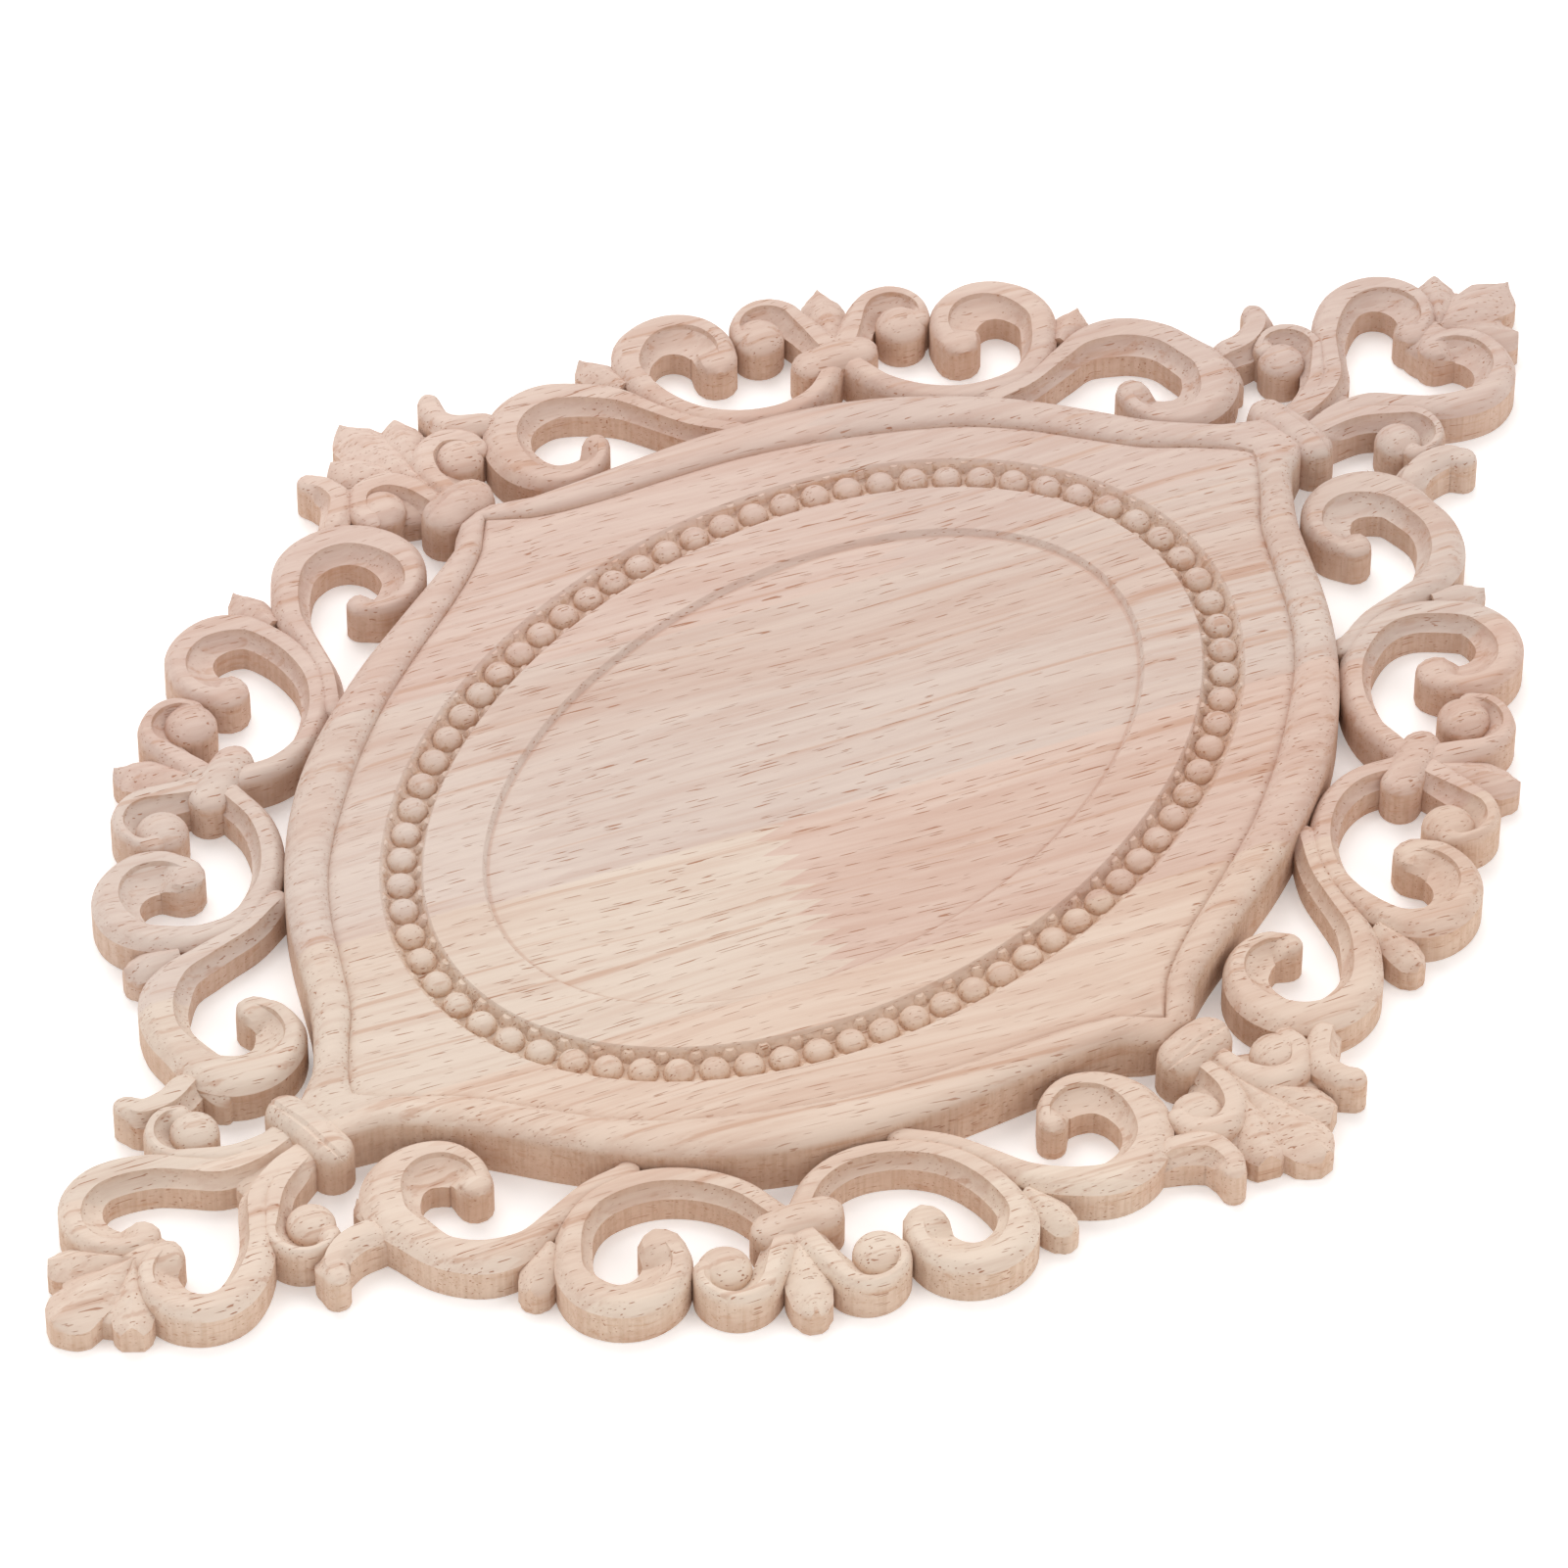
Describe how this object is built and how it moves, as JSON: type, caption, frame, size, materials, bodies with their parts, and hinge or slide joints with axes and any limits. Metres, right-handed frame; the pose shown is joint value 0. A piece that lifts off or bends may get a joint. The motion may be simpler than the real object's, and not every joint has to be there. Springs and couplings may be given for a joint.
{
  "type": "carved wood applique",
  "caption": "Pierced wood applique for furniture or a wall, with a recessed oval framed by beads and a border moulding, ringed by leafy scrolls.",
  "frame": {"origin": "the middle of the flat back, on the face that fits against the wall or furniture front", "axes": "+X along the long axis, +Y along the short axis, +Z out of the back towards the carved face"},
  "size_m": [0.4096, 0.281, 0.013],
  "materials": {
    "rubberwood": "raw, sanded, unvarnished"
  },
  "bodies": {
    "root": {"carved_applique": "rubberwood"}
  },
  "joints": []
}
